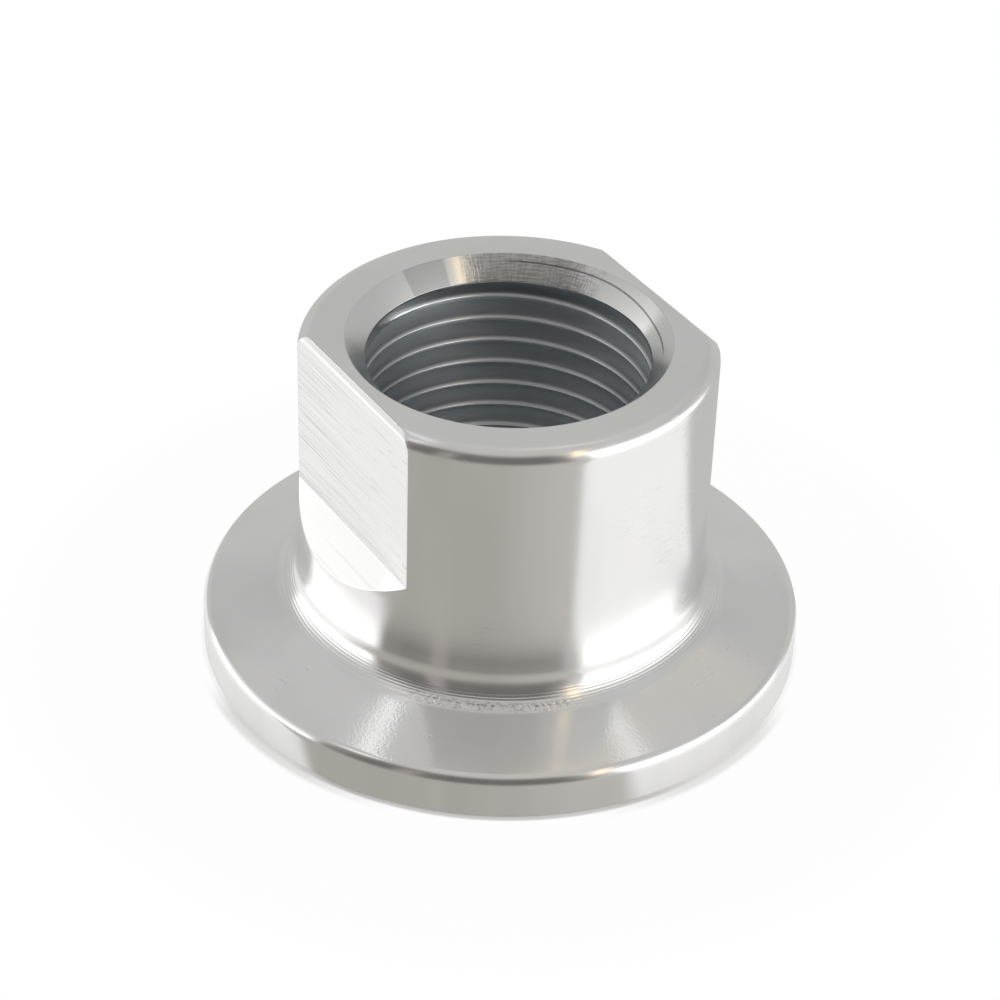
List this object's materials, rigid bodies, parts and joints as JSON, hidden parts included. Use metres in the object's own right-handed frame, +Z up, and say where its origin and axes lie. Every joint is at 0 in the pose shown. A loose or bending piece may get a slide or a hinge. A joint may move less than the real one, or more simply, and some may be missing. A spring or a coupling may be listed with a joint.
{
  "type": "clamp flange to pipe thread adapter",
  "caption": "Turned stainless clamp flange with a coned back, a round neck with two wrench flats and a female pipe thread bore right through.",
  "frame": {"origin": "centre of the sealing face, in its plane, where the part stands", "axes": "+Z up the bore axis from the sealing face to the thread's mouth; the two wrench flats face -Y and +Y"},
  "size_m": [0.04, 0.04, 0.023],
  "materials": {
    "turned_steel": "turned stainless steel, bright satin, with fine milled lines on the two flats"
  },
  "bodies": {
    "root": {"adapter": "turned_steel"}
  },
  "joints": []
}
